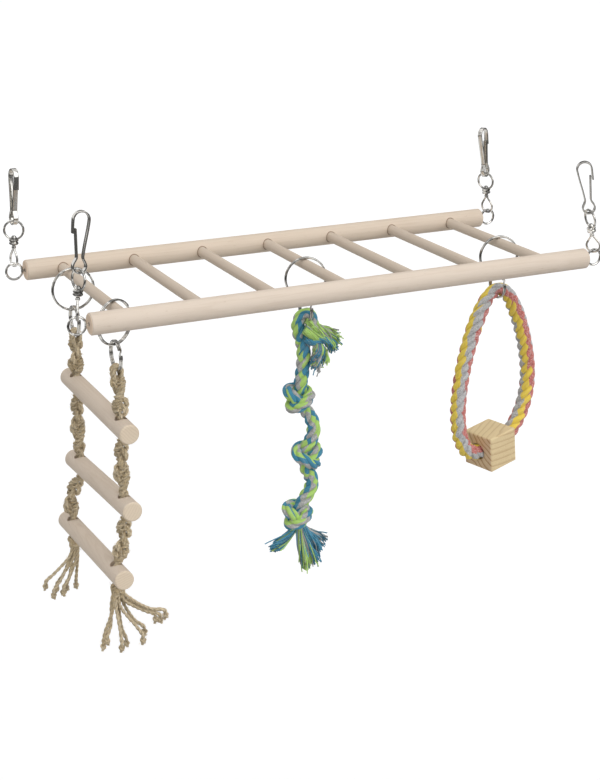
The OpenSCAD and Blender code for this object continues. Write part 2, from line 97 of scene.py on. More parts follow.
# %% Camera
SENSOR, LENS, NEAREST = 36, 69.23, 0.01
EYE, TARGET = Vector((-0.2067, -0.6671, 0.1614)), Vector((0.1408, 0.0555, -0.1247))
camera = add_object("camera", bpy.data.cameras.new("camera"))
camera.data.sensor_width = SENSOR
camera.data.lens = LENS
camera.data.clip_start = NEAREST
look = (TARGET - EYE).to_track_quat("-Z", "Y").to_matrix().to_4x4()
camera.matrix_world = Matrix.Translation(EYE) @ look
bpy.context.scene.camera = camera
bpy.context.scene.view_settings.view_transform = "Standard"


# %% [markdown]
# ## Node trees written like sums
# Materials and Geometry Nodes are both node trees. A small class wraps a socket, so that a sum such as
# `a * 2 + b` adds the Math nodes by itself. All other nodes go through one method that takes the type,
# the inputs and the settings, and the most common ones have short methods of their own.

# %% Node helpers
def sign(operation, reflected=False):
    """A method that adds a Math node for a sign in a sum; reflected where a plain number stands first."""
    def method(a, b):
        return a.graph.math(operation, b, a) if reflected else a.graph.math(operation, a, b)
    return method


class Val:
    """An output socket that can stand in a sum."""

    def __init__(self, graph, socket):
        self.graph, self.socket = graph, socket

    __add__, __radd__ = sign("ADD"), sign("ADD", reflected=True)
    __sub__, __rsub__ = sign("SUBTRACT"), sign("SUBTRACT", reflected=True)
    __mul__, __rmul__ = sign("MULTIPLY"), sign("MULTIPLY", reflected=True)
    __truediv__ = sign("DIVIDE")


class Graph:
    """A node tree that is being written."""

    def __init__(self, tree):
        self.tree = tree

    def put(self, socket, value):
        """Link an input to another node's output, or set it to a plain value."""
        if isinstance(value, Val):
            self.tree.links.new(value.socket, socket)
        else:
            socket.default_value = value

    def set(self, name, value):
        """Give an input of a material's main shader its value."""
        self.put(self.tree.nodes["Principled BSDF"].inputs[name], value)

    def bump(self, height, distance):
        self.set("Normal", self.node("ShaderNodeBump", {"Height": height, "Distance": distance}))

    def node(self, kind, inputs=None, settings=None, out=0):
        """Add a node and return the output that out names, or several where out is a list."""
        made = self.tree.nodes.new(kind)
        for key, value in (settings or {}).items():
            setattr(made, key, value)
        for key, value in (inputs or {}).items():
            self.put(made.inputs[key], value)
        if isinstance(out, list):
            return [Val(self, made.outputs[k]) for k in out]
        return Val(self, made.outputs[out])

    def math(self, operation, *values):
        return self.node("ShaderNodeMath", dict(enumerate(values)), {"operation": operation})

    def vector(self, operation, a, b):
        second = "Scale" if operation == "SCALE" else 1
        return self.node("ShaderNodeVectorMath", {0: a, second: b}, {"operation": operation})

    def point(self, *parts):
        return self.node("ShaderNodeCombineXYZ", dict(enumerate(parts)))

    def mix(self, factor, a, b, blend="MIX"):
        settings = {"data_type": "RGBA", "blend_type": blend}
        return self.node("ShaderNodeMix", {0: factor, 6: a, 7: b}, settings, 2)

    def noise(self, where, scale, detail=3.0):
        return self.node("ShaderNodeTexNoise", {"Vector": where, "Scale": scale, "Detail": detail})

    def attribute(self, name, out):
        return self.node("ShaderNodeAttribute", settings={"attribute_name": name}, out=out)

    def where(self):
        """The place on the piece at which a material is looked up."""
        return self.node("ShaderNodeTexCoord", out="Object")

    def join(self, *parts):
        made = self.tree.nodes.new("GeometryNodeJoinGeometry")
        for part in parts:
            self.tree.links.new(part.socket, made.inputs[0])
        return Val(self, made.outputs[0])

    def step(self, value, low, high):
        """0 below low, 1 above high, smooth between them; the other way round where high is the lower."""
        return self.node("ShaderNodeMapRange", {"Value": value, "From Min": low, "From Max": high},
                         {"interpolation_type": "SMOOTHSTEP"})

    def clamp(self, value):
        return self.math("MINIMUM", self.math("MAXIMUM", value, 0.0), 1.0)

    def wrap(self, value):
        """What is left of a value above its next lower whole number."""
        return self.math("FLOORED_MODULO", value, 1.0)


def new_finish(name, roughness, metallic=0.0):
    """A material and its graph."""
    material = bpy.data.materials.new(name)
    material.use_nodes = True
    g = Graph(material.node_tree)
    g.set("Roughness", roughness)
    g.set("Metallic", metallic)
    return material, g


def rgb(r, g, b):
    return (r, g, b, 1.0)


# %% [markdown]
# ## Floor and light
# The photo has a plain white ground and soft light from all round, a little stronger from above and from
# the front. A white sky and three wide suns give that. Suns light the whole floor evenly, so it stays
# white to the horizon, and it lies well below the toy, so the toy's shadow is faint. Bright metal shows
# what it mirrors, so mirrored rays see a dark room instead: a bright patch behind, bands of light on the
# ceiling, and a floor that is white only near the toy. All other light finds the floor grey.

# %% Floor
FLOOR_Z, FLOOR_HALF = -0.36, 9
FLOOR_WHITE, FLOOR_GREY, FLOOR_DARK, FLOOR_NEAR, FLOOR_GLOW = 0.99, 0.42, 0.06, 0.9, 0.12
WHITE_TO, DARK_FROM = 0.55, 1.0
floor_material, g = new_finish("floor", 0.9)
camera_ray, glossy_ray = g.node("ShaderNodeLightPath", out=["Is Camera Ray", "Is Glossy Ray"])
away = g.node("ShaderNodeVectorMath", {0: g.where()}, {"operation": "LENGTH"}, "Value")
mirrored = FLOOR_NEAR * g.step(away, DARK_FROM, WHITE_TO) + (FLOOR_DARK - FLOOR_GREY)
seen = FLOOR_GREY + (FLOOR_WHITE - FLOOR_GREY) * camera_ray
g.set("Base Color", seen + glossy_ray * mirrored)
g.set("Emission Color", FLOOR_GLOW * camera_ray)
g.set("Emission Strength", 1.0)
floor_mesh = bpy.data.meshes.new("floor")
floor_sides = [(-1, -1), (1, -1), (1, 1), (-1, 1)]
floor_corners = [(FLOOR_HALF * x, FLOOR_HALF * y, FLOOR_Z) for x, y in floor_sides]
floor_mesh.from_pydata(floor_corners, [], [(0, 1, 2, 3)])
floor_mesh.materials.append(floor_material)
floor = add_object("floor", floor_mesh)

# %% Sky and suns
SKY, ROOM_DARK = 0.5, 0.05
world = bpy.data.worlds.new("studio")
bpy.context.scene.world = world
world.use_nodes = True
g = Graph(world.node_tree)
sky = world.node_tree.nodes["Background"]
camera_ray, glossy_ray = g.node("ShaderNodeLightPath", out=["Is Camera Ray", "Is Glossy Ray"])
way = g.node("ShaderNodeTexCoord", out="Generated")
side, depth, height = g.node("ShaderNodeSeparateXYZ", {0: way}, out=[0, 1, 2])
bands = g.step(g.math("SINE", 9.0 * side + 6.0 * depth), -0.3, 0.3)
ceiling = g.step(height, 0.4, 0.75) * (0.2 + 0.8 * bands)
patch = g.step(depth - 0.8 * side - 0.3 * height, 0.55, 0.95)
mirrored = (1 - ROOM_DARK) * g.math("MAXIMUM", patch, ceiling) + (ROOM_DARK - SKY)
g.put(sky.inputs["Color"], rgb(1, 1, 1))
g.put(sky.inputs["Strength"], SKY + (1 - SKY) * camera_ray + glossy_ray * mirrored)


def sun(name, where, strength, spread):
    """Soft light from the direction of where, as wide as spread degrees of the sky."""
    light = bpy.data.lights.new(name, "SUN")
    light.energy, light.angle = strength, math.radians(spread)
    obj = add_object(name, light)
    obj.matrix_world = Vector(where).to_track_quat("Z", "Y").to_matrix().to_4x4()


sun("key", (0.7, -1.5, 1.0), strength=1.35, spread=60)
sun("top", (0, 0.2, 1.6), strength=0.55, spread=70)
sun("left", (-1.4, -0.8, 0.6), strength=0.5, spread=60)

# %% [markdown]
# ## Lines that become ropes
# Every rope starts as a line of points. `smooth` draws a curve through a few of them and cuts it into even
# steps. `grow` stores the line as a mesh of edges, runs a Geometry Nodes tree on it, and keeps the mesh
# that comes out. `sweep` is the end of every tree: it carries an outline along the line, and covers the
# tube with loose fibres where a density is given for them.

# %% Line helpers
BETWEEN = 24


def smooth(points, step):
    """An even line through points; columns after x, y, z (such as thickness) are carried along."""
    p = np.array(points, float)
    gaps = np.linalg.norm(np.diff(p[:, :3], axis=0), axis=1)
    rates = np.diff(p, axis=0) / gaps[:, None]
    inner = gaps[:-1, None] * rates[1:] + gaps[1:, None] * rates[:-1]
    slopes = np.vstack([rates[:1], inner / (gaps[:-1] + gaps[1:])[:, None], rates[-1:]])
    t = np.linspace(0, 1, BETWEEN, endpoint=False)[:, None]
    rows = []
    for k, gap in enumerate(gaps):
        ends = (2 * t**3 - 3 * t**2 + 1) * p[k] + (3 * t**2 - 2 * t**3) * p[k + 1]
        rows.append(ends + gap * ((t**3 - 2 * t**2 + t) * slopes[k] + (t**3 - t**2) * slopes[k + 1]))
    line = np.vstack(rows + [p[-1:]])
    run = np.concatenate([[0], np.cumsum(np.linalg.norm(np.diff(line[:, :3], axis=0), axis=1))])
    at = np.linspace(0, run[-1], max(3, round(run[-1] / step)) + 1)
    return np.stack([np.interp(at, run, column) for column in line.T], axis=1)


def length_of(line):
    return float(np.linalg.norm(np.diff(line[:, :3], axis=0), axis=1).sum())


def wire_mesh(name, lines):
    """Edges along the lines; column 4 is stored as thick, columns 5 to 7 as a colour called tone."""
    edges, first = [], 0
    for line in lines:
        edges += [(first + k, first + k + 1) for k in range(len(line) - 1)]
        first += len(line)
    rows = np.vstack(lines)
    mesh = bpy.data.meshes.new(name)
    mesh.from_pydata([tuple(p) for p in rows[:, :3]], edges, [])
    mesh.attributes.new("thick", "FLOAT", "POINT").data.foreach_set("value", rows[:, 3].copy())
    if rows.shape[1] > 4:
        tone = np.ones((len(rows), 4))
        tone[:, :3] = rows[:, 4:7]
        mesh.attributes.new("tone", "FLOAT_COLOR", "POINT").data.foreach_set("color", tone.ravel())
    return mesh


def grow(name, g, lines, **values):
    """Run the tree of graph g on the lines and keep the result as an object."""
    obj = add_object(name, wire_mesh(name + "_line", lines))
    modifier = obj.modifiers.new("grow", "NODES")
    modifier.node_group = g.tree
    for item in g.tree.interface.items_tree:
        if item.in_out == "INPUT" and item.name in values:
            modifier[item.identifier] = values[item.name]
    depsgraph = bpy.context.evaluated_depsgraph_get()
    grown = obj.evaluated_get(depsgraph)
    mesh = bpy.data.meshes.new_from_object(grown, preserve_all_data_layers=True, depsgraph=depsgraph)
    obj.modifiers.remove(modifier)
    line_mesh, obj.data = obj.data, mesh
    mesh.name = name
    bpy.data.meshes.remove(line_mesh)
    return obj


def new_tree(name, **kinds):
    """A Geometry Nodes tree with a mesh and the named values as inputs."""
    tree = bpy.data.node_groups.new(name, "GeometryNodeTree")
    tree.interface.new_socket("Geometry", in_out="INPUT", socket_type="NodeSocketGeometry")
    for key, kind in kinds.items():
        tree.interface.new_socket(key, in_out="INPUT", socket_type="NodeSocket" + kind)
    tree.interface.new_socket("Geometry", in_out="OUTPUT", socket_type="NodeSocketGeometry")
    g = Graph(tree)
    given = {s.name: Val(g, s) for s in tree.nodes.new("NodeGroupInput").outputs if s.name}
    return g, given


HAIR_START, HAIR_MIDDLE, HAIR_END = (0, 0, -0.0003), (0, 0, 0.0008), (0.0006, 0, 0.0012)
HAIR_R, HAIR_LEAN, HAIR_SMALL, HAIR_LARGE = 0.00007, 1.1, 0.5, 1.4


def hairs(g, mesh, density):
    """Loose fibres on a mesh, so many to a square metre: short bent tubes that lean to all sides."""
    bend = g.node("GeometryNodeCurveQuadraticBezier",
                  {"Resolution": 4, "Start": HAIR_START, "Middle": HAIR_MIDDLE, "End": HAIR_END})
    ring = g.node("GeometryNodeCurvePrimitiveCircle", {"Resolution": 3, "Radius": HAIR_R})
    hair = g.node("GeometryNodeCurveToMesh", {"Curve": bend, "Profile Curve": ring, "Fill Caps": True})
    points, upright = g.node("GeometryNodeDistributePointsOnFaces",
                             {"Mesh": mesh, "Density": density, "Seed": 3}, out=["Points", "Rotation"])
    low, high = (-HAIR_LEAN, -HAIR_LEAN, -math.pi), (HAIR_LEAN, HAIR_LEAN, math.pi)
    lean = g.node("FunctionNodeRandomValue", {0: low, 1: high, "Seed": 5}, {"data_type": "FLOAT_VECTOR"})
    lean = g.node("FunctionNodeEulerToRotation", {"Euler": lean})
    lean = g.node("FunctionNodeRotateRotation", {"Rotation": upright, "Rotate By": lean},
                  {"rotation_space": "LOCAL"})
    size = g.node("FunctionNodeRandomValue", {2: HAIR_SMALL, 3: HAIR_LARGE, "Seed": 7},
                  {"data_type": "FLOAT"}, 1)
    return g.node("GeometryNodeInstanceOnPoints",
                  {"Points": points, "Instance": hair, "Rotation": lean, "Scale": size})


def sweep(g, curve, profile, scale, material, hair=None):
    """Carry the profile along the curve, add loose fibres where hair is their density, and end the tree."""
    mesh = g.node("GeometryNodeCurveToMesh",
                  {"Curve": curve, "Profile Curve": profile, "Scale": scale, "Fill Caps": True})
    if hair:
        mesh = g.join(mesh, hairs(g, mesh, hair))
    mesh = g.node("GeometryNodeSetShadeSmooth", {"Geometry": mesh, "Shade Smooth": True})
    mesh = g.node("GeometryNodeRealizeInstances", {"Geometry": mesh})
    mesh = g.node("GeometryNodeSetMaterial", {"Geometry": mesh, "Material": material})
    g.put(g.tree.nodes.new("NodeGroupOutput").inputs["Geometry"], mesh)


def curve_of(g, given):
    return g.node("GeometryNodeMeshToCurve", {"Mesh": given["Geometry"]})


def named(g, name):
    return g.node("GeometryNodeInputNamedAttribute", {"Name": name}, {"data_type": "FLOAT"})


def store(g, geometry, name, value, kind="FLOAT"):
    return g.node("GeometryNodeStoreNamedAttribute", {"Geometry": geometry, "Name": name, "Value": value},
                  {"data_type": kind, "domain": "POINT"})


def twist(g, curve, lay):
    """Turn whatever is carried along the curve once in each length of lay, and store the length as run."""
    run = g.node("GeometryNodeSplineParameter", out="Length")
    curve = store(g, curve, "run", run)
    return g.node("GeometryNodeSetCurveTilt", {"Curve": curve, "Tilt": run * TAU / lay})


# %% [markdown]
# ## Laid rope
# A laid rope is a few strands that wind round each other: four in the cotton ropes, two in the twine. Cut
# across, it looks like a clover leaf, so a clover outline that turns as it travels along the line gives a
# whole rope as one closed tube. The outline's angle and the length travelled are stored on the mesh. The
# material uses them to tell the strands and the yarns apart.

# %% Rope tree
STRANDS, STRAND_SIDES, STRAND_BULGE = 4, 40, 0.25
PLIES, PLY_SIDES, PLY_BULGE = 2, 12, 0.34


def clover(g, lobes, sides, bulge):
    """Outline of pressed strands, 1 across; bulge is a strand's radius, larger for a rounder rope."""
    turn = g.node("GeometryNodeInputIndex") / sides
    angle = turn * TAU
    across = (g.wrap(turn * lobes) - 0.5) * TAU / lobes
    middle = 0.5 - bulge
    sine = middle * g.math("SINE", across)
    radius = middle * g.math("COSINE", across) + g.math("SQRT", bulge * bulge - sine * sine)
    around = g.point(g.math("COSINE", angle), g.math("SINE", angle))
    ring = g.node("GeometryNodeCurvePrimitiveCircle", {"Resolution": sides, "Radius": 1.0})
    ring = store(g, ring, "around", around, "FLOAT_VECTOR")
    outline = g.vector("SCALE", around, radius)
    return g.node("GeometryNodeSetPosition", {"Geometry": ring, "Position": outline})


g, given = new_tree("laid rope", Diameter="Float", Lay="Float", Lobes="Int", Sides="Int", Bulge="Float",
                    Hair="Float", Material="Material")
rope_tree = g
curve = twist(g, curve_of(g, given), given["Lay"])
outline = clover(g, given["Lobes"], given["Sides"], given["Bulge"])
sweep(g, curve, outline, named(g, "thick") * given["Diameter"], given["Material"], given["Hair"])


# %% Rope material
def fibre_shader(name):
    """A dull material with a little sheen, for anything spun from fibres."""
    material, g = new_finish(name, 0.92)
    g.set("Sheen Weight", 0.12)
    g.set("Specular IOR Level", 0.2)
    return material, g


SHADOW, FLUFF = rgb(0.42, 0.4, 0.38), rgb(0.95, 0.93, 0.9)


def rope_finish(name, colours, strands, lay, yarns, depth, pace=1.0, start=0.0, drift=0.0, wander=0.0,
                grit=0.5, heather=0.3, plain=0, painted_groove_shade=0.45):
    """Twisted fibre: grooves between the strands, yarns along the rope, loose fibres on top.

    The coloured yarns of a strand come to the surface one after another; pace is how often that happens
    in a turn, start is where the row of colours begins, drift is how far it moves in a metre, and wander
    is how much the strands differ. grit is the strength of streaks along the fibres and heather that of
    light and dark specks, which the first colours, as many as plain says, don't have. The last argument is
    how much painted shade darkens the grooves between the strands, and depth how deep the relief is.
    """
    material, g = fibre_shader(name)
    run = g.attribute("run", "Fac")
    c, s = g.node("ShaderNodeSeparateXYZ", {0: g.attribute("around", "Vector")}, out=[0, 1])
    turn = g.wrap(g.math("ARCTAN2", s, c) / TAU)
    groove_shade = g.math("POWER", g.math("ABSOLUTE", g.wrap(turn * strands) * 2 - 1), 6.0)
    round_rope = turn + run / lay
    yarn = g.math("SINE", round_rope * (TAU * yarns))
    where = g.where()
    fuzz, speck, cloud = g.noise(where, 2600.0), g.noise(where, 1250.0, 2.0), g.noise(where, 160.0)
    streak = g.noise(g.point(c * 4.5, s * 4.5, run * 70), 1.0, 4.0)
    shift = g.noise(g.point(g.math("FLOOR", turn * strands) * 5.3, run * 90), 1.0, 1.0) - 0.5
    row = round_rope * pace + run * drift + shift * wander + fuzz * 0.05 + start
    place_in_row = g.wrap(row) * len(colours)
    colour = colours[0]
    for k in range(1, len(colours)):
        colour = g.mix(g.math("GREATER_THAN", place_in_row, float(k)), colour, colours[k])
    specks = heather * g.math("GREATER_THAN", place_in_row, float(plain)) if plain else heather
    # Painted shade: the grooves between the strands and the thin lines between the yarns are darkened;
    # streaks, cloud and specks are the fibres' own tone
    shade = 0.1 * g.step(yarn, 0.2, -1.0) + grit * (streak - 0.5) + 0.3 * (cloud - 0.5) + painted_groove_shade * groove_shade
    shade = shade + specks * g.step(speck, 0.48, 0.36)
    dark = g.mix(1.0, colour, SHADOW, "MULTIPLY")
    light = specks * g.step(speck, 0.52, 0.66) + 0.3 * grit * g.step(streak, 0.54, 0.72)
    g.set("Base Color", g.mix(g.clamp(shade), g.mix(light, colour, FLUFF), dark))
    g.bump(yarn * 0.4 + fuzz * 0.5 + streak, depth)
    return material


BLUE, LIME, GREY = rgb(0.075, 0.31, 0.47), rgb(0.52, 0.80, 0.21), rgb(0.51, 0.52, 0.51)
YELLOW, CORAL, PALE = rgb(1.0, 0.76, 0.12), rgb(0.70, 0.23, 0.205), rgb(0.60, 0.60, 0.60)
JUTE, JUTE_DARK = rgb(0.95, 0.78, 0.51), rgb(0.76, 0.60, 0.36)
COTTON_DEPTH, JUTE_DEPTH = 0.00025, 0.0004

# %% [markdown]
# ## The knotted rope
# The rope is folded over a small ring and tied into three overhand knots. An overhand knot is a loop with
# the end put through it. Its line was drawn once, in rope diameters, and is used three times, mirrored for
# the second knot. The rope is a free cord.

# %% Overhand knot
OVERHAND = [(0.15, 0, 1.6), (0.1, 0.1, 0.9), (0, 0.35, 0.3), (-0.35, 0.45, -0.25), (-0.75, 0, -0.5),
            (-0.3, -0.6, -0.35), (0.35, -0.6, 0.05), (0.8, -0.15, 0.35), (0.5, 0.55, 0.65),
            (-0.2, 0.75, 0.75), (-0.8, 0.35, 0.75), (-0.8, -0.3, 0.55), (-0.35, -0.25, 0.1),
            (0.1, 0.05, -0.4), (0.3, 0.1, -0.95), (0.35, 0, -1.7)]
# The rope is squeezed inside the knot, but not farther up or down than this
KNOT_END, SQUEEZE = 1.3, 0.86


def knot(centre, size, flip=1):
    """An overhand knot round centre; size is the knot's rope in mm, flip mirrors it."""
    return [(centre[0] + flip * x * size, centre[1] + y * size, centre[2] + z * size,
             1.0 if abs(z) > KNOT_END else SQUEEZE) for x, y, z in OVERHAND]


# %% Knotted rope
# Ropes hang on the lowest part of a small ring; this is the height of the middle of the wire there
SMALL_WIRE = 1.2
ring_low, ring_high = extent("small_ring_rope")
HANG_Z = round(spot("small_ring_rope")[2] - (ring_high[1] - ring_low[1] - SMALL_WIRE) / 2, 1)
ROPE_HANG = np.array((*spot("small_ring_rope")[:2], HANG_Z, 0))
ROPE_STEP, FOLD_TOP = 0.0007, 4.4
KNOTTED_D, KNOTTED_LAY = 0.0083, 0.023
KNOTS, KNOT_SIZE, KNOT_L = [(-4, 0, -46), (0.5, 0, -82.5), (-5, 0, -118.5)], 7.2, 18.5
# From the wire down: x, y, z in mm and the thickness as a share of the rope's
rope_line = [(3.4, -3.6, -3.4, 0.8), (3.4, -2.6, -1, 0.84), (3.3, -1.2, 1.6, 0.82), (2.1, 0, 4, 0.82),
             (-1.2, 0, 4.5, 0.82), (-3.9, 0.2, 2, 0.86), (-4.5, 0.7, -2, 0.94), (-3.7, 1, -6, 1),
             (-2.4, 0.7, -10, 1.03), (-1.5, 0.2, -14, 1.03), (-1.3, 0, -18.5, 1), (-1.6, 0, -25, 1),
             (-2.3, 0, -31, 1)]
rope_line += knot(KNOTS[0], KNOT_SIZE)[:-2]
rope_line += [(-0.6, 0.7, -52.2, 0.92), (2.2, 0.4, -56, 1), (4.4, 0, -61, 1), (5, 0, -67, 1),
              (3.6, 0.3, -71.8, 1), (1.2, 0.9, -76.2, 0.9)]
rope_line += knot(KNOTS[1], KNOT_SIZE, -1)[2:-2]
rope_line += [(0.6, 0.6, -89.5, 0.92), (2.9, 0.3, -93.5, 1), (4.2, 0, -98.5, 1), (2.2, 0, -104, 1),
              (-0.9, 0.2, -108.6, 1), (-3.4, 0.7, -112.6, 0.9)]
rope_line += knot(KNOTS[2], KNOT_SIZE)[2:-1]
rope_path = smooth(place(np.array(rope_line) + ROPE_HANG), ROPE_STEP)
knotted_finish = rope_finish("knotted cotton", [BLUE, LIME, GREY], STRANDS, KNOTTED_LAY, 30, COTTON_DEPTH,
                             pace=2.3, start=0.3, wander=1.6, plain=2, painted_groove_shade=0.36)
knotted = grow("knotted_rope_cotton", rope_tree, [rope_path], Diameter=KNOTTED_D, Lay=KNOTTED_LAY,
               Lobes=STRANDS, Sides=STRAND_SIDES, Bulge=STRAND_BULGE, Material=knotted_finish)
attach(knotted, "knotted_rope")
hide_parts("knotted_rope")
print("knotted rope:", round(1000 * length_of(rope_path)), "mm,", len(knotted.data.polygons), "faces")

# %% [markdown]
# ## Frayed ends
# Where a cotton rope is cut, it opens into loose yarns. Each yarn is a thin wavy tube with a colour of its
# own. The yarns of a bunch follow one middle line and spread out from it. At the rope's lower end they
# fall apart at once. In the tuft at its upper end they stay laid together in strands that open towards
# their tips. The random numbers have a fixed seed.

# %% Yarn tree and material
yarn_tree, given = new_tree("yarns", Diameter="Float", Sides="Int", Material="Material")
g = yarn_tree
ring = g.node("GeometryNodeCurvePrimitiveCircle", {"Resolution": given["Sides"], "Radius": 0.5})
sweep(g, curve_of(g, given), ring, named(g, "thick") * given["Diameter"], given["Material"])

yarn_finish, g = fibre_shader("loose yarn")
fuzz = g.noise(g.where(), 3000.0)
worn = g.mix(g.step(fuzz, 0.52, 0.9), g.attribute("tone", "Color"), rgb(0.8, 0.8, 0.76))
g.set("Base Color", worn)
g.bump(fuzz, 0.0002)

# %% Bunches
YARN = {"Diameter": 0.00095, "Sides": 5, "Material": yarn_finish}
YARN_STEP, YARN_TAPER, FEWEST_POINTS = 0.9, 0.3, 6
# A direction that no bunch runs in, to find the two ways across it
ASIDE = (0.3, 1.0, 0.2)
dice = random.Random(11)


def bunch(middle, colours, count, mess=3.2, laid=2.2, curl=1.0):
    """Yarns round a middle line of (x, y, z, spread) in mm from the middle of the deck.

    mess is how far their ends stray in mm, laid the angle they turn by, curl how wavy they are.
    """
    middle = smooth(middle, YARN_STEP)
    ahead = np.gradient(middle[:, :3], axis=0)
    first = np.cross(ahead, ASIDE)
    first /= np.linalg.norm(first, axis=1)[:, None]
    second = np.cross(ahead, first)
    second /= np.linalg.norm(second, axis=1)[:, None]
    f = np.linspace(0, 1, len(middle))[:, None]
    lines = []
    for _ in range(count):
        out = math.sqrt(dice.random())
        angle = TAU * dice.random() + laid * f
        wave = curl * dice.uniform(0.1, 0.5)
        phase = TAU * dice.random()
        turns = curl * dice.uniform(1.0, 2.5)
        stray = np.array((math.cos(phase), math.sin(phase), math.cos(2.3 * phase)))
        stray = mess * dice.random() ** 2 * stray
        keep = max(FEWEST_POINTS, int(len(middle) * dice.uniform(0.72, 1.0)))
        colour = np.array(dice.choice(colours)[:3])
        tone = np.minimum(dice.uniform(0.42, 1.08) * colour, 1.0)
        line = middle[:, :3] + middle[:, 3:] * out * (np.cos(angle) * first + np.sin(angle) * second)
        line = line + f**3 * stray + wave * f * np.sin(phase + turns * TAU * f)
        rows = np.hstack([line, 1.0 - YARN_TAPER * f, np.ones_like(f) * tone])
        lines.append(place(rows[:keep]))
    return lines


# %% Lower end
# Middle lines from the lower end of the last knot, and the colours that their yarns are drawn from
FRAYS = [
    ([(-1.5, 0.5, 4, 1.7), (-3.5, 0.7, 0, 1.9), (-7.5, 1, -4, 2.6), (-12, 1, -7.5, 3.4),
      (-17, 1, -10.5, 4)], [BLUE] * 5 + [LIME]),
    ([(0, -0.6, 4, 1.6), (0.2, -1.4, -1, 1.8), (0.8, -3, -8, 2.2), (2.6, -4, -16, 2.6),
      (4, -4, -24, 3)], [LIME] * 4 + [BLUE, GREY]),
    ([(0.8, -0.2, 4, 1.6), (1.6, -0.8, -1, 1.8), (4, -2, -8, 2.4), (7.5, -3, -15.5, 3.2),
      (11, -3, -22.5, 4)], [BLUE] * 3 + [GREY, LIME]),
    ([(2.2, 0.6, 4, 1.7), (4.2, 1, 0, 2), (8, 1.6, -5.5, 2.6), (12.5, 2, -11.5, 3.2),
      (16.5, 2, -17.5, 3.6)], [BLUE] * 5 + [GREY]),
    ([(2.6, 1.2, 4, 1), (5.2, 1.8, 0.4, 1.1), (10, 2.6, -3.5, 1.4), (15.5, 3, -7.5, 1.8),
      (20.5, 3, -11.5, 2.2)], [GREY] * 2 + [BLUE])]
FRAY_YARNS = 110
rope_end = ROPE_HANG + (KNOTS[2][0], 0, KNOTS[2][2] - KNOT_L / 2, 0)
frays = []
for middle, colours in FRAYS:
    frays += bunch(np.array(middle) + rope_end, colours, FRAY_YARNS)
fray = grow("knotted_rope_fray", yarn_tree, frays, **YARN)

# %% Tuft
# Strands from the wire that the rope hangs on: middle line, colours, number of yarns and curl
TUFTS = [
    ([(-1.5, -3.2, 1.2, 1.5), (2.4, -4, -1, 1.7), (7.5, -4.6, -4, 1.8), (12.5, -5, -7, 2.4),
      (17, -5, -10.5, 3)], [LIME] * 4 + [GREY], 100, 1.0),
    ([(-1.5, -3.6, -1.6, 1.5), (2.8, -4.4, -3.6, 1.8), (7.5, -5, -6.4, 2.2), (12.5, -5.2, -9.5, 2.8),
      (17, -5.2, -13, 3.4)], [LIME] * 3 + [BLUE, GREY], 100, 1.0),
    ([(-3.5, -5.2, -3.6, 1.6), (-0.5, -6, -5.6, 2.1), (3.5, -6, -7.8, 2.2), (8, -5.6, -9, 2.4),
      (12.5, -5.4, -11.5, 3), (17, -5.2, -14.5, 3.6)], [LIME] * 6 + [BLUE], 130, 1.0),
    ([(-2.4, -4.4, -8.5, 1.6), (1, -5.6, -10.6, 2), (5, -6.4, -9.8, 2.1), (9.2, -6.4, -10.4, 2.3),
      (13, -6, -13.6, 2.8), (16.5, -5.6, -17.5, 3.4)], [BLUE] * 6 + [LIME], 130, 1.0),
    ([(2.6, -4.6, -10.5, 1.6), (4, -6, -13, 2.2), (4.2, -6, -17.5, 2.7), (3.8, -5.8, -22, 2.7),
      (4, -5.4, -28, 2.6)], [GREY] * 2 + [BLUE, LIME], 110, 3.0),
    ([(4, -5, -10.5, 1.4), (6, -6, -14, 2), (7.6, -6, -18, 2.6), (8.4, -5.8, -21.5, 2.8),
      (9, -5.4, -25, 2.6)], [LIME] * 2 + [BLUE, GREY], 80, 1.6)]
tufts = []
for middle, colours, count, curl in TUFTS:
    tufts += bunch(np.array(middle) + ROPE_HANG, colours, count, mess=4.5, laid=4.5, curl=curl)
tuft = grow("knotted_rope_tuft", yarn_tree, tufts, **YARN)
for piece in (fray, tuft):
    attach(piece, "knotted_rope")
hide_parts("knotted_rope_tassel")
list(place([ROPE_HANG[:3] + (0, 0, FOLD_TOP)])[0])
print("frayed yarns:", len(frays) + len(tufts))

# %% [markdown]
# ## The rope ring
# A thicker rope goes through the block and over a small ring, so it hangs as a long loop. It is squeezed
# where it lies on the wire. The loop's plane is turned a little, as in the photo. Both of its ends are
# hidden in the block.

# %% Rope ring
RING_HANG = np.array((*spot("small_ring_loop")[:2], HANG_Z))
RING_TURN, RING_D, RING_LAY = math.radians(15), 0.0096, 0.0248
# Points in the loop's own plane, from the wire that it hangs on, in mm
OUT_OF_BLOCK, INTO_BLOCK = [(2, -94), (12.4, -92.58)], [(-12.4, -95.42), (-2, -94.3)]
RIGHT_SIDE = [(20.1, -86.5), (26.5, -78), (30.2, -68), (31.2, -55), (28.6, -40), (23.3, -24), (16.4, -10)]
LEFT_SIDE = [(-15.9, -10), (-22.2, -24), (-27, -40), (-29.6, -57), (-29.1, -73), (-25.9, -84.5),
             (-20.1, -92.5)]
CROWN_R, CROWN_Z, CROWN_THICK = 9.5, -4.7, 0.85
flat = [(s, z, 1) for s, z in OUT_OF_BLOCK + RIGHT_SIDE]
for a in np.radians((55, 90, 125)):
    flat.append((CROWN_R * math.cos(a), CROWN_Z + CROWN_R * math.sin(a), CROWN_THICK))
flat += [(s, z, 1) for s, z in LEFT_SIDE + INTO_BLOCK]
ring_line = []
for s, z, thick in flat:
    ring_line.append((*(RING_HANG + (s * math.cos(RING_TURN), s * math.sin(RING_TURN), z)), thick))
ring_path = smooth(place(ring_line), ROPE_STEP)
ring_finish = rope_finish("ring cotton", [YELLOW, CORAL, PALE], STRANDS, RING_LAY, 33, COTTON_DEPTH,
                          pace=2.0, start=0.34, drift=1.6, wander=0.7, heather=0.4, plain=1, painted_groove_shade=0.34)
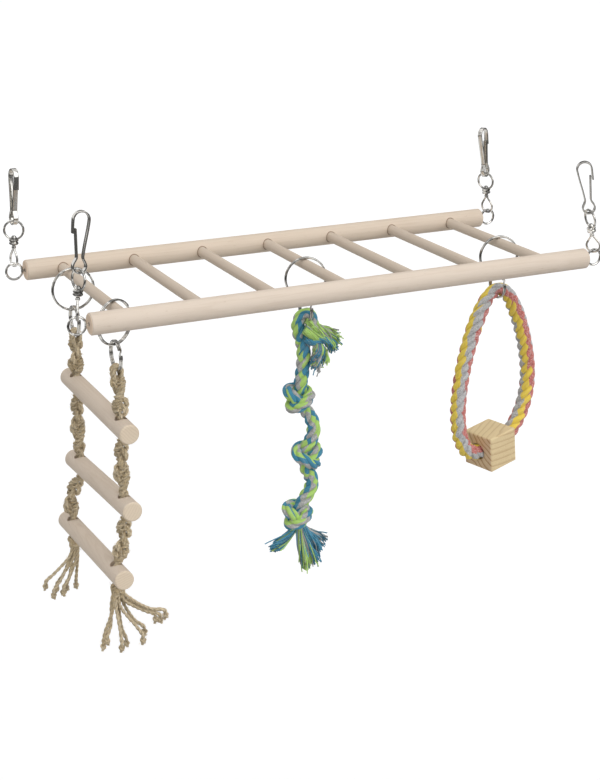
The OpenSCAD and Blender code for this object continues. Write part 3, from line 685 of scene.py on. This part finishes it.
ring = grow("rope_ring_cotton", rope_tree, [ring_path], Diameter=RING_D, Lay=RING_LAY, Lobes=STRANDS,
            Sides=STRAND_SIDES, Bulge=STRAND_BULGE, Material=ring_finish)
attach(ring, "rope_ring")
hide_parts("rope_ring")
print("rope ring:", round(1000 * length_of(ring_path)), "mm")

# %% [markdown]
# ## The plaited jute
# The ladder hangs on flat plaits of jute twine. Three pairs of twine swing from side to side along the
# line, each a third of a period later than the last. A swing at twice the pace lifts them over each other.
# The band also turns as it goes down. The tree copies one line six times and moves each copy, then gives
# every twine its own two plies and its loose fibres.

# %% Plait tree
TWINES, PAIR_LAG, PAIR_LIFT = 6, 0.62, 0.0004
plait_tree, given = new_tree("plait", Diameter="Float", Width="Float", Depth="Float", Period="Float",
                             Spiral="Float", Ply="Float", Hair="Float", Material="Material")
g = plait_tree
run = g.node("GeometryNodeSplineParameter", out="Length")
curve, copy = g.node("GeometryNodeDuplicateElements", {"Geometry": curve_of(g, given), "Amount": TWINES},
                     {"domain": "SPLINE"}, [0, 1])
pair = g.math("FLOOR", copy / 3.0)
phase = run * TAU / given["Period"] + copy * (TAU / 3) + pair * PAIR_LAG
swing = given["Width"] * g.math("SINE", phase)
lift = given["Depth"] * g.math("SINE", phase * 2.0) + (pair - 0.5) * PAIR_LIFT
spin = run * TAU / given["Spiral"]
c, s = g.math("COSINE", spin), g.math("SINE", spin)
normal, tangent = g.node("GeometryNodeInputNormal"), g.node("GeometryNodeInputTangent")
side = g.vector("CROSS_PRODUCT", tangent, normal)
thick = named(g, "thick")
offset = g.vector("ADD", g.vector("SCALE", normal, (swing * c - lift * s) * thick),
                  g.vector("SCALE", side, (swing * s + lift * c) * thick))
curve = g.node("GeometryNodeSetPosition", {"Geometry": curve, "Offset": offset})
curve = twist(g, curve, given["Ply"])
outline = clover(g, PLIES, PLY_SIDES, PLY_BULGE)
sweep(g, curve, outline, given["Diameter"] * (0.75 + 0.25 * thick), given["Material"], given["Hair"])

# %% Ladder ropes
TWINE, PLY, JUTE_HAIRS = 0.0024, 0.0066, 60000.0
PLAIT = {"Width": 0.0032, "Depth": 0.0012, "Period": 0.012, "Spiral": 0.028}
PLAIT_STEP = 0.0006
jute_finish = rope_finish("jute", [JUTE, JUTE_DARK], PLIES, PLY, 9, JUTE_DEPTH, grit=1.3, painted_groove_shade=0.65)
SIDES = {"front": -1, "back": 1}
LADDER_X, RING_Y, _ = spot("small_ring_ladder_back")
# Half the distance between the two rope holes of a step
HOLE_Y = 37.5
# A plait starts under a ring's wire and a little outwards, or under the axis of a step, and ends above one
UNDER_WIRE, OUTWARDS, UNDER_STEP, ABOVE_STEP = 3.4, 0.6, 4.5, 2.5
# Sideways bows of the three plaits of each side half way down, in mm
BOWS = {"front": (0.5, -1.0, 1.5), "back": (0, -0.5, -4.0)}


def step_axis(node):
    """x and z of a step's axis in mm, and the angle by which its back end dips, to a tenth of a degree."""
    points = vertices(node)
    along = np.linalg.svd(points - points.mean(axis=0), full_matrices=False)[2][0]
    x, _, z = spot(node)
    return x, z, math.radians(round(math.degrees(math.atan(-along[2] / along[1])), 1))


STEPS = [step_axis(f"ladder_step_{k}") for k in (1, 2, 3)]


def hole(k, side, up):
    """A point of a step's rope hole, up along the hole from the step's axis, in mm."""
    x, z, dip = STEPS[k]
    out = side * HOLE_Y
    y = out * math.cos(dip) + up * math.sin(dip)
    return np.array((x, y, z - out * math.sin(dip) + up * math.cos(dip)))


def ladder_rope(k, side, bow):
    """The plait that enters step k from above, with a sideways bow in mm half way."""
    top = np.array((LADDER_X, side * (RING_Y + OUTWARDS), HANG_Z - UNDER_WIRE))
    head = [(0, 0.75), (0.12, 1.0)]
    if k:
        top = hole(k - 1, side, -UNDER_STEP)
        head = [(0, 0.5), (0.12, 0.75)]
    low = hole(k, side, ABOVE_STEP)
    rows = []
    for f, thick in head + [(0.25, 1.0), (0.5, 1.05), (0.76, 1.0), (0.88, 0.56), (1, 0.35)]:
        aside = math.sin(math.pi * f) ** 2 * np.array((bow, 0, 0))
        rows.append((*(top + f * (low - top) + aside), thick))
    return smooth(place(rows), PLAIT_STEP)


for name, side in SIDES.items():
    for k, bow in enumerate(BOWS[name]):
        line = ladder_rope(k, side, bow)
        plait = grow(f"jute_{name}_{k + 1}", plait_tree, [line], Diameter=TWINE, Ply=PLY, Hair=JUTE_HAIRS,
                     Material=jute_finish, **PLAIT)
        if k:
            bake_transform(plait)
        else:
            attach(plait, "ladder_stage_1")
        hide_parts(f"ladder_rope_{name}_{k + 1}")

# %% [markdown]
# ## Twine round the rings and the ladder's tassels
# At the top the twine lies over each small ring in three bights, that is in bent-over turns, which go on
# as the plait. Under the lowest step the plait ends in a knot, and its twines hang loose, with a small
# knot in each end.

# %% Bights and tassels
TWINE_STEP, BIGHT_R, BIGHT_GAP = 0.0005, 1.85, 2.2


def twines(name, lines):
    return grow(name, rope_tree, lines, Diameter=TWINE, Lay=PLY, Lobes=PLIES, Sides=PLY_SIDES,
                Bulge=PLY_BULGE, Hair=JUTE_HAIRS, Material=jute_finish)


def bight(side, shift):
    """One turn of twine over the lower wire of a small ring."""
    leg = [(0.8, 0.25, -6.4), (1.8, 0.75, -3.4), (2.0, 1, -1.0)]
    rows = [(-x, y * shift, z) for x, y, z in leg]
    for a in np.radians((20, 60, 90, 120, 160)):
        rows.append((-BIGHT_R * math.cos(a), shift, BIGHT_R * math.sin(a)))
    rows += [(x, y * shift, z) for x, y, z in reversed(leg)]
    rows = [(LADDER_X + x, side * RING_Y + y, HANG_Z + z, 1.0) for x, y, z in rows]
    return smooth(place(rows), TWINE_STEP)


# Ends of the tassels' twines from their starts, in mm
TASSELS = {
    "front": [(-6.5, 1, -28), (-5, -2, -25), (1, -3, -29), (5.5, 2, -31), (12, -2, -28), (14.5, 2, -26.5),
              (19, 1, -18.5), (21, -2, -19), (23, 0, -17)],
    "back": [(-17, 1, -20), (-13.5, -3, -26), (-11.5, 3, -24), (-9, -2, -26), (-7, 3, -25),
             (-1.5, 2, -25)]}
# A tassel's root under the axis of the lowest step, and the knot below the root
ROOT_DEPTH, BIG_KNOT, BIG_KNOT_SIZE, BIG_KNOT_THICK = 5.5, (0.2, 0, -4.5), 2.9, 1.5
# Where loose twines start from the root, how far they begin inside the knot, and how they hang
START_X, START_Y, START_Z, INSIDE, LOOSE_THICK, LOOSE_WAVE = 0.75, 1.2, -6.5, 4.5, 0.85, 1.2
TIP_KNOT, TIP_KNOT_SIZE, TIP_KNOT_THICK = (0, 0, -2.2), 1.3, 0.7


def loose_twine(start, reach, flip):
    """A twine that hangs in a wave from start, with a small knot in its end."""
    wave = dice.uniform(-LOOSE_WAVE, LOOSE_WAVE)
    rows = [(*(start + (0, 0, INSIDE)), LOOSE_THICK)]
    for t in (0.0, 0.25, 0.5, 0.75, 1.0):
        x = start[0] + reach[0] * t**1.5 + wave * math.sin(TAU * t)
        rows.append((x, start[1] + reach[1] * t**1.5, start[2] + reach[2] * t, LOOSE_THICK))
    tip = knot(np.array(rows[-1][:3]) + TIP_KNOT, TIP_KNOT_SIZE, flip)[1:]
    return smooth(place(rows + [(*p[:3], TIP_KNOT_THICK) for p in tip]), TWINE_STEP)


for name, side in SIDES.items():
    turns = twines(f"jute_bights_{name}", [bight(side, shift) for shift in (-BIGHT_GAP, 0, BIGHT_GAP)])
    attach(turns, "ladder_stage_1")
    root = hole(2, side, -ROOT_DEPTH)
    ends = TASSELS[name]
    big_knot = knot(root + BIG_KNOT, BIG_KNOT_SIZE, side)
    lines = [smooth(place([(*p[:3], BIG_KNOT_THICK) for p in big_knot]), TWINE_STEP)]
    for k, reach in enumerate(ends):
        flip = 1 if k % 2 else -1
        start = root + ((k - (len(ends) - 1) / 2) * START_X, flip * START_Y, START_Z)
        lines.append(loose_twine(start, reach, flip))
    tassel = twines(f"jute_tassel_{name}", lines)
    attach(tassel, "ladder_stage_3")
    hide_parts(f"ladder_tassel_{name}")
    print(name, "tassel:", len(ends), "twines,", len(tassel.data.polygons), "faces")

# %% [markdown]
# ## The snap hooks
# Each hook is one springy strip: a nose, a round upper bend for the cage bar, a waist, a round heel in the
# swivel ring, and a long free end that is the gate. A flat outline with rounded edges is carried along the
# strip's line. The gate is a piece of its own, because it turns when it is pressed in.

# %% Strip tree
strip_tree, given = new_tree("strip", Thickness="Float", Width="Float", Round="Float", Across="Vector",
                             Material="Material")
g = strip_tree
curve = g.node("GeometryNodeSetCurveNormal", {"Curve": curve_of(g, given), "Normal": given["Across"]},
               {"mode": "FREE"})
outline = g.node("GeometryNodeCurvePrimitiveQuadrilateral",
                 {"Width": given["Width"], "Height": given["Thickness"]})
outline = g.node("GeometryNodeFilletCurve", {"Curve": outline, "Count": 4, "Radius": given["Round"]},
                 {"mode": "POLY"})
sweep(g, curve, outline, named(g, "thick"), given["Material"])


# %% Metal
def metal_finish(name, colour, roughness, painted_dark_reflection=0.0):
    """Polished plating with faint wiping marks, small dull spots, and dark stretches of painted reflection
    as strong as the last argument says.
    """
    material, g = new_finish(name, roughness, 1.0)
    where = g.where()
    spots = g.noise(where, 900.0)
    marks = g.noise(g.vector("MULTIPLY", where, (1.0, 1.0, 0.25)), 420.0, 5.0)
    g.set("Roughness", roughness + 0.16 * g.step(marks, 0.5, 0.8) + 0.08 * spots)
    # Painted reflection: stretches of noise darken the plating and stand in for a dark room mirrored in it
    dark = g.step(g.noise(where, 260.0, 1.0), 0.46, 0.56)
    shade = (1.0 - 0.2 * g.step(spots, 0.45, 0.75)) * (1.0 - painted_dark_reflection * dark)
    g.set("Base Color", g.mix(shade, rgb(0, 0, 0), colour))
    g.bump(marks, 0.00003)
    return material


NICKEL, BRIGHT_NICKEL = rgb(0.70, 0.68, 0.64), rgb(0.86, 0.84, 0.80)
nickel = metal_finish("nickel", NICKEL, 0.1)
link_steel = metal_finish("link steel", BRIGHT_NICKEL, 0.1, painted_dark_reflection=0.62)
ring_steel = metal_finish("ring steel", NICKEL, 0.12, painted_dark_reflection=0.5)

# %% Hook line
# Sizes of a hook in mm, as in the CAD model
HOOK_L, HOOK_W, HEEL_W, WAIST_W, WAIST_UP, WAIST_R = 30.6, 8.8, 7.4, 3.9, 7.8, 3.0
STRIP_T, STRIP_W, STRIP_ROUND, NOSE_L, GATE_LAP, GATE_PLAY = 0.9, 2.7, 0.27, 6.5, 2.2, 0.3
STRIP_STEP, ARC_STEP = 0.0004, math.radians(6)
# A corner's chain leans about the place where its lower loop sits in the screw eye, above the eye's middle
LINK_Z = 2.95
eye_low, eye_high = extent("screw_eye_front_left")
LINK_X = round(-eye_low[0] - (eye_high[2] - eye_low[2]) / 2, 1)
LINK_Y = -spot("screw_eye_front_left")[1]
# The model's origin is the middle of the front left hook's upper bend
BAR_Z = round(LINK_Z + 1000 * np.linalg.norm(place([(-LINK_X, -LINK_Y, LINK_Z)])), 2)
BAR_R, HEEL_R, WAIST_X = (HOOK_W - STRIP_T) / 2, (HEEL_W - STRIP_T) / 2, (WAIST_W - STRIP_T) / 2
hook_low = BAR_Z + HOOK_W / 2 - HOOK_L
HEEL_Z, WAIST_Z, NOSE_Z = hook_low + HEEL_W / 2, hook_low + WAIST_UP, BAR_Z - NOSE_L
GATE_TIP = (STRIP_T + GATE_PLAY - BAR_R, NOSE_Z + GATE_LAP)


def leg_lean(radius, rise):
    """The lean of a leg from the waist that touches a bend of this radius, whose middle is so far away."""
    return math.asin(radius / math.hypot(WAIST_X, rise)) - math.atan2(WAIST_X, rise)


UP_LEAN, LOW_LEAN = leg_lean(BAR_R, BAR_Z - WAIST_Z), leg_lean(HEEL_R, WAIST_Z - HEEL_Z)
GATE_LEAN = math.atan2(-GATE_TIP[0] - WAIST_X, GATE_TIP[1] - WAIST_Z)


def arc(x, z, r, start, end):
    n = max(2, round(abs(end - start) / ARC_STEP))
    angles = [start + (end - start) * k / n for k in range(n + 1)]
    return [(x + r * math.cos(a), z + r * math.sin(a)) for a in angles]


def waist(lean):
    """The bend between a leg that leans by lean above and one by LOW_LEAN below, on the right side."""
    cut = WAIST_R * math.tan((lean + LOW_LEAN) / 2)
    start = (WAIST_X + cut * math.sin(lean), WAIST_Z + cut * math.cos(lean))
    middle = (start[0] + WAIST_R * math.cos(lean), start[1] - WAIST_R * math.sin(lean))
    return arc(*middle, WAIST_R, math.pi - lean, math.pi + LOW_LEAN)


gate_turn = [(-x, z) for x, z in reversed(waist(GATE_LEAN))]
spring = [(-BAR_R, NOSE_Z)] + arc(0, BAR_Z, BAR_R, math.pi, -UP_LEAN) + waist(UP_LEAN)
spring += arc(0, HEEL_Z, HEEL_R, LOW_LEAN, -math.pi - LOW_LEAN) + gate_turn
gate = [gate_turn[-1], GATE_TIP]

# %% Hook strips
# Sides in x and y, turn of the hook and lean of its chain in degrees
CORNERS = {"front_left": (-1, -1, 0, 5.5), "back_left": (-1, 1, 96, 3.5), "front_right": (1, -1, 150, -12),
           "back_right": (1, 1, -150, -6.5)}


def line_of(flat, move):
    """Points of the hook's own plane, in mm, moved to their corner of the deck."""
    rows = [(*(move @ Vector((x, 0, z))), 1.0) for x, z in flat]
    return smooth(place(rows), STRIP_STEP)


for corner, (x, y, turn, lean) in CORNERS.items():
    move = Matrix.Translation((LINK_X * x, LINK_Y * y, LINK_Z))
    move = move @ Matrix.Rotation(math.radians(lean), 4, "Y")
    move = move @ Matrix.Translation((0, 0, -LINK_Z)) @ Matrix.Rotation(math.radians(turn), 4, "Z")
    across = tuple(move.to_3x3() @ Vector((0, 1, 0)))
    for name, flat, body in (("spring", spring, "hook_"), ("gate", gate, "gate_")):
        strip = grow(f"hook_{name}_{corner}", strip_tree, [line_of(flat, move)], Thickness=STRIP_T / 1000,
                     Width=STRIP_W / 1000, Round=STRIP_ROUND / 1000, Across=across, Material=nickel)
        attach(strip, body + corner)
        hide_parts(body + corner)

# %% [markdown]
# ## The split rings
# The big and the small rings are split rings, as for keys: a flat wire goes round twice and steps once
# from the first turn to the second. Each takes its middle, its plane and its size from the plain CAD ring
# that it stands for.

# %% Split rings
# The wire's run in degrees: its ends and steps, where it crosses over, and the turn of the whole
RUN_START, RUN_END, RUN_STEP, OVER_START, OVER_LENGTH, RUN_TURN = 10, 711, 4, 350, 20, math.radians(25)
# Shares of the CAD wire: the flat wire's thickness, width and rounding, and each turn's way to the side
FLAT_T, FLAT_W, FLAT_ROUND, ASIDE_TURN = 0.92, 0.82, 0.38, 0.42


def split_ring(node):
    """The line of a two-turn ring in the place of a CAD ring, its axis and the wire's thickness."""
    points = vertices(node)
    middle = (points.min(axis=0) + points.max(axis=0)) / 2
    axis = np.linalg.svd(points - middle, full_matrices=False)[2][2]
    axis = axis * np.sign(axis[np.argmax(np.abs(axis))])
    across = np.cross(axis, (0, 0, 1))
    up = np.cross(across, axis)
    wire = np.ptp((points - middle) @ axis)
    radius = np.linalg.norm(points - middle, axis=1).max() - FLAT_T / 2 * wire
    run = np.arange(RUN_START, RUN_END, RUN_STEP)
    f = np.clip((run - OVER_START) / OVER_LENGTH, 0, 1)
    side = (2 * (3 * f**2 - 2 * f**3) - 1) * ASIDE_TURN * wire
    turn = np.radians(run) + RUN_TURN
    line = middle + radius * (np.outer(np.cos(turn), across) + np.outer(np.sin(turn), up))
    return np.column_stack([line + np.outer(side, axis), np.ones(len(line))]), axis, wire


for node in [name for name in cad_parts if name.startswith(("big_ring_", "small_ring_"))]:
    line, axis, wire = split_ring(node)
    piece = grow(node + "_split", strip_tree, [line], Thickness=FLAT_T * wire, Width=FLAT_W * wire,
                 Round=FLAT_ROUND * wire, Across=tuple(axis), Material=ring_steel)
    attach(piece, node)
    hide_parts(node)

# %% [markdown]
# ## Wood
# Growth rings run through the whole piece, so the grain is a solid texture: sheets round the heart of the
# tree, bent a little by noise. Cut along, they show as long streaks; cut across, as fine curved lines on
# the dowel's end, which has a colour of its own; on the rails' ends that colour is also made paler as
# painted light. Short dark flecks and thin fibres are noise that is stretched along the piece. A thin line
# of painted shade runs round each rung where it enters a rail. The block is pine, with wider and darker
# rings and fibres that slope.

# %% Wood material
# The dark brown of the painted shade in the gap round each rung
GAP_SHADE = rgb(0.24, 0.15, 0.09)


def wood_finish(name, axis, light, dark, ring_width, contrast, middle=(0, 0, 0), turn=(0, 0, 0),
                heart=(0.03, -0.022), slope=0.0, half=1.0, end_light=None, end_contrast=0.0, painted_shade=None):
    """Wood with its fibres along the given axis (0, 1 or 2) of a frame moved to middle and turned by turn.

    heart is the middle of the growth rings across the fibres, and slope leans the fibres to one side. The
    cut ends lie half of the length away from the middle and have a colour and a contrast of their own.
    The last argument is a function of the graph and the place that is 1 where painted shade darkens the
    wood.
    """
    material, g = new_finish(name, 0.6)
    g.set("Specular IOR Level", 0.3)
    where = g.node("ShaderNodeMapping", {"Vector": g.where(), "Location": middle, "Rotation": turn},
                   {"vector_type": "TEXTURE"})
    parts = g.node("ShaderNodeSeparateXYZ", {0: where}, out=[0, 1, 2])
    along, a, b = parts[axis], parts[(axis + 1) % 3], parts[(axis + 2) % 3]
    slow = g.noise(g.point(along * 9, a * 70, b * 70), 1.0, 2.0)
    a, b = a - along * slope - heart[0], b - heart[1]
    distance = g.math("SQRT", a * a + b * b)
    rings = g.wrap(distance / ring_width + slow * 2.6)
    late = g.step(rings, 0.5, 0.95) * g.step(rings, 1.0, 0.95)
    fibre = g.noise(g.point(along * 60, a * 2400, b * 2400), 1.0, 4.0)
    fleck = g.noise(g.point(along * 260, a * 1500, b * 1500), 1.0, 2.0)
    cloud = g.noise(where, 26.0, 2.0)
    end = g.math("GREATER_THAN", g.math("ABSOLUTE", along), half)
    shade = (contrast + end * (end_contrast - contrast)) * late
    shade = shade + 0.55 * (fibre - 0.5) + 0.5 * (cloud - 0.5) + 0.35 * g.step(fleck, 0.66, 0.78)
    colour = g.mix(g.clamp(shade), g.mix(end, light, end_light or light), dark)
    # Painted shade: the wood turns dark brown where the mask is 1
    if painted_shade:
        colour = g.mix(painted_shade(g, parts), colour, GAP_SHADE)
    g.set("Base Color", colour)
    g.set("Roughness", 0.52 + 0.2 * fibre)
    g.bump(fibre + late * 0.12, 0.00008)
    return material


# %% Wood of the deck
rung_low, rung_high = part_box("rung_1")
RUNG_R, RUNG_X = (rung_high[0] - rung_low[0]) / 2, (rung_high[0] + rung_low[0]) / 2 - float(DECK[0])
RUNG_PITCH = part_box("rung_2")[0][0] - rung_low[0]
rail_low, rail_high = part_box("rail_back")
RAIL_Y, RAIL_END = (rail_low[1] + rail_high[1]) / 2 - float(DECK[1]), (rail_high[0] - rail_low[0]) / 2
RIM_FROM, RIM_TO, RAIL_CUT = 0.0001, 0.0007, 0.0002
# The rungs' birch is darkened with painted shade, for their sides that get less light
BIRCH, BIRCH_BACK, BIRCH_RUNG_SHADED = rgb(0.75, 0.64, 0.535), rgb(0.705, 0.59, 0.475), rgb(0.655, 0.55, 0.445)
# The rails' sawn ends are end grain, made paler still with painted light on the ends that face the left
BIRCH_DARK, BIRCH_SAWN_LIT = rgb(0.52, 0.39, 0.28), rgb(0.90, 0.71, 0.545)


def rung_gap_shade(g, parts):
    """Painted shade: a thin dark line round every rung, in the gap on the inner side of the rails."""
    x, y, z = parts
    along = (g.wrap((x - RUNG_X) / RUNG_PITCH + 0.5) - 0.5) * RUNG_PITCH
    far = g.math("SQRT", along * along + z * z)
    inner = g.math("LESS_THAN", g.math("ABSOLUTE", y), RAIL_Y)
    return inner * g.step(far, RUNG_R + RIM_TO, RUNG_R + RIM_FROM)


def rail_wood(name, light):
    return wood_finish(name, 0, light, BIRCH_DARK, 0.0022, 0.12, tuple(DECK), half=RAIL_END - RAIL_CUT,
                       end_light=BIRCH_SAWN_LIT, end_contrast=0.2, painted_shade=rung_gap_shade)


# The rungs' colour holds painted shade
rung_wood = wood_finish("birch along y", 1, BIRCH_RUNG_SHADED, BIRCH_DARK, 0.0019, 0.14)

# %% Wood of the steps and the block
STEP_LIGHT, STEP_DARK, STEP_SAWN = rgb(0.72, 0.61, 0.50), rgb(0.50, 0.38, 0.26), rgb(0.75, 0.63, 0.485)
PINE_LIGHT, PINE_DARK, PINE_SAWN = rgb(0.78, 0.625, 0.37), rgb(0.38, 0.19, 0.075), rgb(0.70, 0.525, 0.33)
BLOCK_EDGE, BLOCK_TILT, STEP_CUT, BLOCK_CUT = 0.022, math.radians(-6.5), 0.0009, 0.0003
step_boxes = [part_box(f"ladder_step_{k}") for k in (1, 2, 3)]
STEP_END = min((high[1] - low[1]) / 2 for low, high in step_boxes)
step_wood = wood_finish("birch steps", 1, STEP_LIGHT, STEP_DARK, 0.0013, 0.12, tuple(DECK),
                        heart=(-0.085, -0.15), half=STEP_END - STEP_CUT, end_light=STEP_SAWN,
                        end_contrast=0.3)
block_middle = tuple(place([spot("block")])[0])
pine = wood_finish("pine", 0, PINE_LIGHT, PINE_DARK, 0.0034, 0.32, block_middle, (0, BLOCK_TILT, RING_TURN),
                   heart=(-0.0186, 0.0235), slope=0.4, half=BLOCK_EDGE / 2 - BLOCK_CUT, end_light=PINE_SAWN,
                   end_contrast=0.8)

# %% [markdown]
# ## Materials for the CAD pieces that stay
# The rails and the rungs are the same pale wood with the grain in two directions. The back rail is a
# little darker and yellower than the front one, and so are the steps of the ladder and the rungs, whose
# colour is darkened further with painted shade. The screw eyes and the swivels are brighter metal than the
# hooks, with dark stretches of painted reflection.

# %% Dress the CAD pieces
WEAR = {"rail_front": rail_wood("birch of the front rail", BIRCH),
        "rail_back": rail_wood("birch of the back rail", BIRCH_BACK),
        "rung_": rung_wood, "ladder_step_": step_wood, "block": pine,
        "screw_eye_": link_steel, "swivel_": link_steel}
dressed = 0
for name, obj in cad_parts.items():
    for start, material in WEAR.items():
        if name.startswith(start):
            obj.data.materials.clear()
            obj.data.materials.append(material)
            dressed += 1
print("CAD pieces with a new material:", dressed, "of", len(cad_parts))

# %% [markdown]
# ## Finish
# The scene is brought up to date once more.

# %% Finish
bpy.context.view_layer.update()
